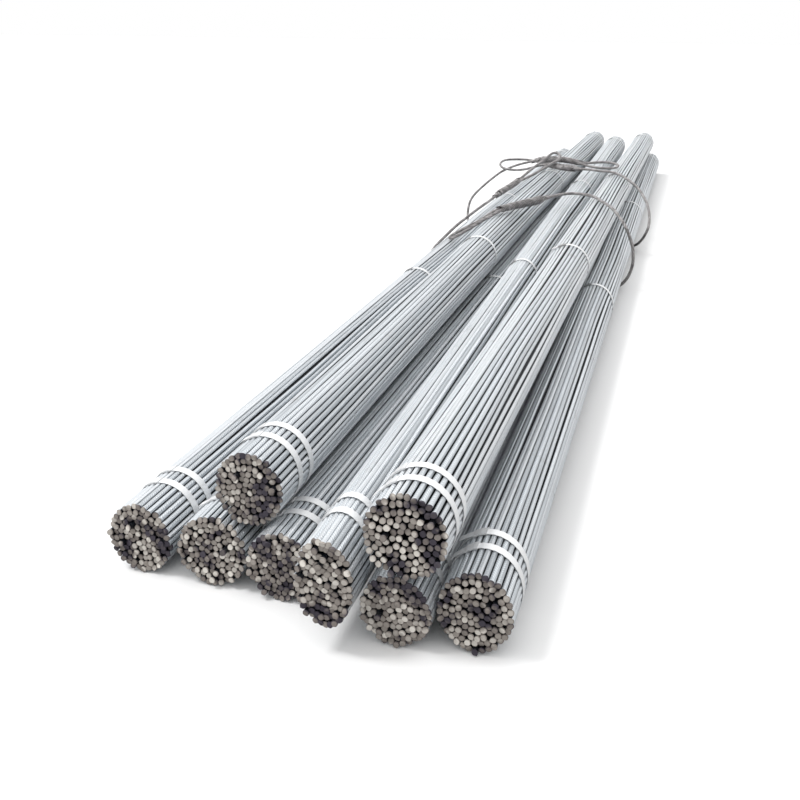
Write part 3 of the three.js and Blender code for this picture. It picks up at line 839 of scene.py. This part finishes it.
def band_line(bundle, y, thickness, start, stop, lift, sway):
    """The line of a band round a bundle: over each bar and a little into the gap after it."""
    half_bars = np.arange(math.floor(start), math.ceil(stop))
    angle = math.pi * half_bars / OUTER_BARS
    dip = np.where(half_bars % 2, DIP, 0)
    radius = BUNDLE_RADIUS + thickness / 2 + lift - dip
    return bundle.points(y + sway[0] * np.sin(angle + sway[1]), angle, radius)


def strap_lines(bundle, y, thin, random):
    """The lines of a strap: its band, its seal, and its free end, which stands up past the seal."""
    sway = (random.uniform(*SWAY), random.uniform(0, SWAY_PHASE))
    band = band_line(bundle, y, thin, 0, 2 * OUTER_BARS, 0, sway)
    middle = SEAL_PLACE + random.uniform(-SEAL_SPREAD, SEAL_SPREAD)
    start, stop = middle - SEAL_REACH, middle + SEAL_REACH
    seal = resampled(band_line(bundle, y, SEAL_THICKNESS, start, stop, -DIP, sway), SEAL_STEP)
    tail = band_line(bundle, y, thin, stop - 1, stop + TAIL, TAIL_GAP, sway)
    share = np.linspace(0, 1, len(tail))[:, None]
    outward = (tail - bundle.points(y, 0, 0)) * (1, 0, 1)
    rise = outward / BUNDLE_RADIUS * share ** 2 * TAIL_RISE * random.uniform(TAIL_RISE_LEAST, 1)
    return band, seal, tail + rise


class RebarAddStraps(bpy.types.Operator):
    """Add the steel straps with their seals"""

    bl_idname = "rebar.add_straps"
    bl_label = "Straps"

    def execute(self, context):
        settings = context.scene.rebar_straps
        zinc = galvanised_strap("galvanised_strapping", settings.steel)
        clean, dull = (galvanised_strap(f"{word}_seal_steel", settings.steel, tone)
                       for word, tone in zip(("clean", "dull"), SEAL_TONES))
        tree = steel_band_tree()
        random = np.random.default_rng(STRAP_SEED)
        thin = settings.thickness
        for name in BUNDLES:
            bundle = Bundle(name)
            for place, y in bundle.straps.items():
                band, seal, tail = strap_lines(bundle, y, thin, random)
                crimped = clean if place.startswith("near") else dull
                share = np.linspace(0, 1, len(seal))
                notch = sum(np.exp(-((share - at) / NOTCH_WIDTH) ** 2) for at in NOTCHES)
                seal_girth = [1 - NOTCH_DEPTH * notch]
                parts = [
                    grown(part, tree, {"Width": width, "Thickness": thick, "Material": steel},
                          [line], closed=part == "band", girth=girth)
                    for part, line, width, thick, steel, girth in (
                        ("band", band, settings.width, thin, zinc, 1),
                        ("seal", seal, SEAL_WIDTH, SEAL_THICKNESS, crimped, seal_girth),
                        ("tail", tail, settings.width * TAIL_WIDTH, thin, zinc, 1))]
                piece = joined(f"strapping_{bundle.number}_{place}", parts)
                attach(piece, "root")
                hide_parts(f"strap_{bundle.number}_{place}")
        return {"FINISHED"}


# ---- Wire rope ----
def wire_rope_tree():
    """A rope of laid strands along a line: a round of lobes that turns as it goes."""
    tree, add, given, told = new_tree("wire_rope", {
        "Diameter": "Float", "Strands": "Int", "Strand points": "Int", "Groove": "Float",
        "Lay": "Float", "Material": "Material",
    }, ["girth", "outward", "round", "along", "crest"])
    spline = add("GeometryNodeSplineParameter").outputs
    turns = add(MATH, {0: spline["Length"], 1: given["Lay"]}, operation="DIVIDE")
    turn = add(MATH, {0: turns, 1: 2 * math.pi}, operation="MULTIPLY")
    across = add(MATH, {0: told["girth"], 1: given["Diameter"]}, operation="MULTIPLY")
    half = add(MATH, {0: across, 1: 0.5}, operation="MULTIPLY")
    corners = add(MATH, {0: given["Strands"], 1: given["Strand points"]}, operation="MULTIPLY")
    # Each strand is a lobe, high on its crest and low in the groove after it.
    angle = add(MATH, {0: spline["Factor"], 1: math.pi}, operation="MULTIPLY")
    lobes = add(MATH, {0: angle, 1: given["Strands"]}, operation="MULTIPLY")
    wave = add(MATH, {0: lobes}, operation="COSINE")
    high = add(MATH, {0: wave}, operation="ABSOLUTE")
    low = add(MATH, {0: 1, 1: high}, operation="SUBTRACT")
    cut = add(MATH, {0: low, 1: given["Groove"]}, operation="MULTIPLY")
    reach = add(MATH, {0: 1, 1: cut}, operation="SUBTRACT")
    ring = add(STORE, {"Name": "crest", 0: unit_ring(add, corners), "Value": high})
    position = add("GeometryNodeInputPosition")
    lobed = add(VECTOR_MATH, {0: position, "Scale": reach}, operation="SCALE")
    profile = add(SET_POSITION, {0: ring, "Position": lobed})
    rope, looks = spotted(add, told, tube_along(add, given["Geometry"], turn, profile, half))
    # Where painted shade is left out: a tucked strand where it looks outwards, and a plain rope on
    # its crests.
    tucked = add(VECTOR_MATH, {0: told["outward"]}, operation="LENGTH")
    plain = add(MATH, {0: 1, 1: tucked}, operation="SUBTRACT")
    unshaded = add(MATH, {0: told["crest"], 1: plain, 2: looks}, operation="MULTIPLY_ADD")
    add("NodeGroupOutput", {0: finished(add, rope, unshaded, given["Material"])})
    return tree


# ---- Slings ----
SLING_SEED = 7
ROPE = {"Strands": 6, "Strand points": 5, "Groove": 0.3}
ROPE_STEP = 0.0065  # from ring to ring along a rope
BEND_EASE = 3  # rings over which a bend is eased
LEG_ASIDE = 0.01065  # from the middle of a splice to each leg of its eye
LEG_ROOT = 0.014  # how deep in its splice a leg starts
LEG_MERGE = 0.105  # from the throat to where the rope lies in the middle of its splice
SPLICE_STEP = 0.006  # from ring to ring along a splice
THROAT_RADIUS = 0.0225  # of a splice where its eye begins
THROAT_REACH = 0.035  # how far the strands run down the legs of the eye
THROAT_POINTS = 8  # of the route, by which the splice's way out of its throat is judged
SWELL_AT = 0.72  # as a share of the splice's length
TIP_RADIUS = 0.012  # where its last strand ends
SPLICE_STRANDS = 8
STRAND = 0.0095  # diameter of a tucked strand
STRAND_LAY = 0.12  # in which a tucked strand goes once round its rope
TUCKED = {"Diameter": STRAND, "Strands": 5, "Strand points": 3, "Groove": 0.05, "Lay": 0.05}
HEART = {"Diameter": 1.0, "Strands": 6, "Strand points": 5, "Groove": 0.12, "Lay": -0.2}
HEART_INSET = 0.65  # strand diameters that the heart lies below its splice's surface
ENDS_FROM, ENDS_OVER = 0.76, 0.23  # shares of the splice in which its strands end one after another
END_TAPER = 0.03  # length in which a strand thins towards its end
END_GIRTH = 0.4
START_TAPER = 0.08  # and in which it thickens from its start
START_GIRTH = 0.55
WANDER = 0.12  # radians that a strand wanders out of its lay
WANDER_RATE = 60  # radians of that wave for each metre
UNEVEN = (-0.0015, 0.001)  # how far a strand lies off the round, at least and at most
END_LIFT = 0.007  # how far the end of a strand may stand off its splice
LIFT_REACH = 0.025


def eye_path(route, loop):
    """The rope of an eye, from its hidden end in the splice round the loop to the rope."""
    loop = metres(loop)
    throat = route[0]
    inward = route[1] - route[0]
    inward /= np.linalg.norm(inward)
    aside = loop[0] - loop[-1]
    aside -= aside.dot(inward) * inward
    aside *= LEG_ASIDE / np.linalg.norm(aside)
    coming = [throat - aside + inward * LEG_ROOT, throat - aside]
    leaving = [throat + aside, throat + aside + inward * LEG_ROOT]
    return catmull_rom([*coming, *loop[::-1], *leaving])


def sling_path(sling):
    """The whole rope of a sling as one line, and its route alone."""
    route = catmull_rom(metres(sling["route"]))
    left, right = sling["eyes"].values()
    first, last = eye_path(route, left), eye_path(route[::-1], right)
    along = distances(route)
    # Inside its splice the rope comes to the middle little by little.
    inside = (along > LEG_MERGE) & (along < along[-1] - LEG_MERGE)
    whole = np.vstack([first, route[inside], last[::-1]])
    return resampled(eased(resampled(whole, ROPE_STEP), BEND_EASE), ROPE_STEP), route


def frames_along(path):
    """Two directions square to a path at each point, which turn with it as little as they can. It
    starts out more level than upright."""
    way = np.gradient(path, axis=0)
    way /= np.linalg.norm(way, axis=1)[:, None]
    side = np.empty_like(path)
    first = np.cross(way[0], (0, 0, 1))
    side[0] = first / np.linalg.norm(first)
    for i in range(1, len(path)):
        moved = side[i - 1] - side[i - 1].dot(way[i]) * way[i]
        side[i] = moved / np.linalg.norm(moved)
    return side, np.cross(way, side)


def smooth(share):
    """A share from 0 to 1, eased at both ends."""
    share = np.clip(share, 0, 1)
    return share * share * (3 - 2 * share)


def splice_lines(route, length, swell, random):
    """The heart of a splice and its girth, and the strands wound round it with the facts of their
    points. They end one after another."""
    inside = route[distances(route) < length]
    back = inside[0] - inside[THROAT_POINTS]
    inside = np.vstack([inside[0] + back / np.linalg.norm(back) * THROAT_REACH, inside])
    path = resampled(inside, SPLICE_STEP)
    side, up = frames_along(path)
    along = distances(path)
    share = along / along[-1]
    radius = THROAT_RADIUS + (swell - THROAT_RADIUS) * smooth(share / SWELL_AT)
    radius += (TIP_RADIUS - radius) * smooth((share - SWELL_AT) / (1 - SWELL_AT))
    lines, girths, outwards = [], [], []
    for i in range(SPLICE_STRANDS):
        kept = share <= ENDS_FROM + ENDS_OVER * i / (SPLICE_STRANDS - 1)
        kept &= along >= THROAT_REACH * random.uniform(0, 1)
        run = along[kept]
        left = run[-1] - run
        girth = END_GIRTH + (1 - END_GIRTH) * smooth(left / END_TAPER)
        girth = girth * (START_GIRTH + (1 - START_GIRTH) * smooth(run / START_TAPER))
        turns = i / SPLICE_STRANDS + run / STRAND_LAY
        angle = 2 * math.pi * turns + WANDER * np.sin(run * WANDER_RATE + 2 * i)
        lift = END_LIFT * random.uniform(0, 1) * (1 - smooth(left / LIFT_REACH))
        reach = radius[kept] - STRAND / 2 * girth + random.uniform(*UNEVEN) + lift
        turned = side[kept] * np.cos(angle)[:, None] + up[kept] * np.sin(angle)[:, None]
        lines.append(path[kept] + turned * reach[:, None])
        girths.append(girth)
        outwards.append(turned)
    heart = along >= THROAT_REACH
    girth = 2 * (radius[heart] - HEART_INSET * STRAND)
    return path[heart], girth, lines, {"girth": girths, "outward": outwards}


class RebarAddSlings(bpy.types.Operator):
    """Add the two wire-rope slings, each one rope with a spliced eye at both ends"""

    bl_idname = "rebar.add_slings"
    bl_label = "Slings"

    def execute(self, context):
        settings = context.scene.rebar_slings
        steel = {"Material": greased_wire(settings)}
        tree = wire_rope_tree()
        random = np.random.default_rng(SLING_SEED)
        for name, sling in SLINGS.items():
            path, route = sling_path(sling)
            values = {**ROPE, **steel, "Diameter": settings.rope, "Lay": settings.lay}
            rope = grown(f"sling_{name}", tree, values, [path], girth=1, outward=(0, 0, 0))
            splices = []
            for side, start in zip(sling["eyes"], (route, route[::-1])):
                path, girth, lines, facts = splice_lines(
                    start, metres(sling["splice"]), metres(sling["swell"][side]), random)
                heart = grown("heart", tree, {**HEART, **steel}, [path], girth=[girth],
                              outward=(0, 0, 0))
                strands = grown("strands", tree, {**TUCKED, **steel}, lines, **facts)
                splices.append(joined(f"splice_{name}_{side}", [strands, heart]))
            for piece in (rope, *splices):
                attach(piece, "root")
            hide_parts(f"sling_{name}_rope")
            for piece, side in zip(splices, sling["eyes"]):
                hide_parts(f"sling_{name}_eye_{side}")
            corners = ROPE["Strands"] * ROPE["Strand points"]
            centres = mesh_points(rope.data).reshape(-1, corners, 3).mean(axis=1)
        return {"FINISHED"}


# ---- Stage ----
FLOOR_REACH = 60
FLOOR_GLOW = 0.5  # share of its colour that the floor throws back
SKY_LIGHT = (110, (0.25, 0.0, -1))  # how many degrees wide it is and where it shines
KEY_LIGHT = (15, (0.6, 0.15, -1))


def camera_turn():
    """The camera's turn from its yaw, pitch and roll."""
    heading = Vector((-math.sin(CAMERA_YAW), math.cos(CAMERA_YAW), 0))
    right = Vector((math.cos(CAMERA_YAW), math.sin(CAMERA_YAW), 0))
    ahead = heading * math.cos(CAMERA_PITCH) - Vector((0, 0, math.sin(CAMERA_PITCH)))
    up = right.cross(ahead)
    side = right * math.cos(CAMERA_ROLL) + up * math.sin(CAMERA_ROLL)
    top = up * math.cos(CAMERA_ROLL) - right * math.sin(CAMERA_ROLL)
    return Matrix((side, top, -ahead)).transposed()


def add_sun(name, strength, angle, towards):
    lamp = bpy.data.lights.new(name, "SUN")
    lamp.energy = strength
    lamp.angle = math.radians(angle)
    placed(name, lamp).rotation_euler = Vector(towards).to_track_quat("-Z", "Y").to_euler()


class RebarAddStage(bpy.types.Operator):
    """Add the pale floor, the soft light and the camera"""

    bl_idname = "rebar.add_stage"
    bl_label = "Stage"

    def execute(self, context):
        scene = context.scene
        settings = scene.rebar_stage
        material, shader, add, _ = new_material("pale_floor")
        # The floor looks pale to the camera and throws back less light than that.
        seen = add("ShaderNodeLightPath").outputs["Is Camera Ray"]
        tone = add(MIX, data_type="RGBA", inputs={
            0: seen, 6: rgba(settings.floor, FLOOR_GLOW), 7: rgba(settings.floor)})
        set_inputs(shader, {"Roughness": 0.9, "Specular IOR Level": 0.1, "Base Color": tone})
        mesh = bpy.data.meshes.new("floor")
        mesh.from_pydata([(x * FLOOR_REACH, y * FLOOR_REACH, 0)
                          for x, y in ((-1, -1), (1, -1), (1, 1), (-1, 1))], [], [(0, 1, 2, 3)])
        mesh.materials.append(material)
        floor = placed("floor", mesh)
        scene.world = bpy.data.worlds.new("studio")
        scene.world.use_nodes = True
        tree = scene.world.node_tree
        rays = add_node(tree, "ShaderNodeLightPath").outputs
        seen = add_node(tree, MATH, {0: rays["Is Camera Ray"], 1: rays["Is Glossy Ray"]},
                        operation="MAXIMUM")
        strength = add_node(tree, MAP_RANGE, {"Value": seen, "To Min": 0.8, "To Max": 1.0})
        set_inputs(tree.nodes["Background"], {"Color": (1, 1, 1, 1), "Strength": strength})
        add_sun("sky_light", settings.sky, *SKY_LIGHT)
        add_sun("key_light", settings.key, *KEY_LIGHT)
        camera = placed("camera", bpy.data.cameras.new("camera"))
        camera.data.lens = CAMERA_LENS
        camera.data.sensor_width = CAMERA_SENSOR
        camera.data.clip_end = CAMERA_REACH
        camera.matrix_world = Matrix.Translation(CAMERA_PLACE) @ camera_turn().to_4x4()
        scene.camera = camera
        scene.view_settings.view_transform = "Standard"
        return {"FINISHED"}


# ---- Main ----
GROUPS = [
    ("rebar_bars", RebarBarSettings, RebarAddBars),
    ("rebar_straps", RebarStrapSettings, RebarAddStraps),
    ("rebar_slings", RebarSlingSettings, RebarAddSlings),
    ("rebar_stage", RebarStageSettings, RebarAddStage),
]


class RebarPanel(bpy.types.Panel):
    """The sizes, colours and pieces of the pile"""

    bl_idname = "VIEW3D_PT_rebar"
    bl_label = "Rebar bundles"
    bl_space_type = "VIEW_3D"
    bl_region_type = "UI"
    bl_category = "Rebar"

    def draw(self, context):
        for name, group, operator in GROUPS:
            box = self.layout.box()
            for setting in group.__annotations__:
                box.prop(getattr(context.scene, name), setting)
            box.operator(operator.bl_idname)


CLASSES = [*(group for _, group, _ in GROUPS), *(operator for _, _, operator in GROUPS), RebarPanel]


def register():
    for cls in CLASSES:
        bpy.utils.register_class(cls)
    for name, group, _ in GROUPS:
        setattr(bpy.types.Scene, name, bpy.props.PointerProperty(type=group))


def unregister():
    for name, _, _ in GROUPS:
        delattr(bpy.types.Scene, name)
    for cls in reversed(CLASSES):
        bpy.utils.unregister_class(cls)


def main():
    register()
    bpy.ops.rebar.add_bars()
    bpy.ops.rebar.add_straps()
    bpy.ops.rebar.add_slings()
    bpy.ops.rebar.add_stage()


if __name__ == "__main__":
    main()
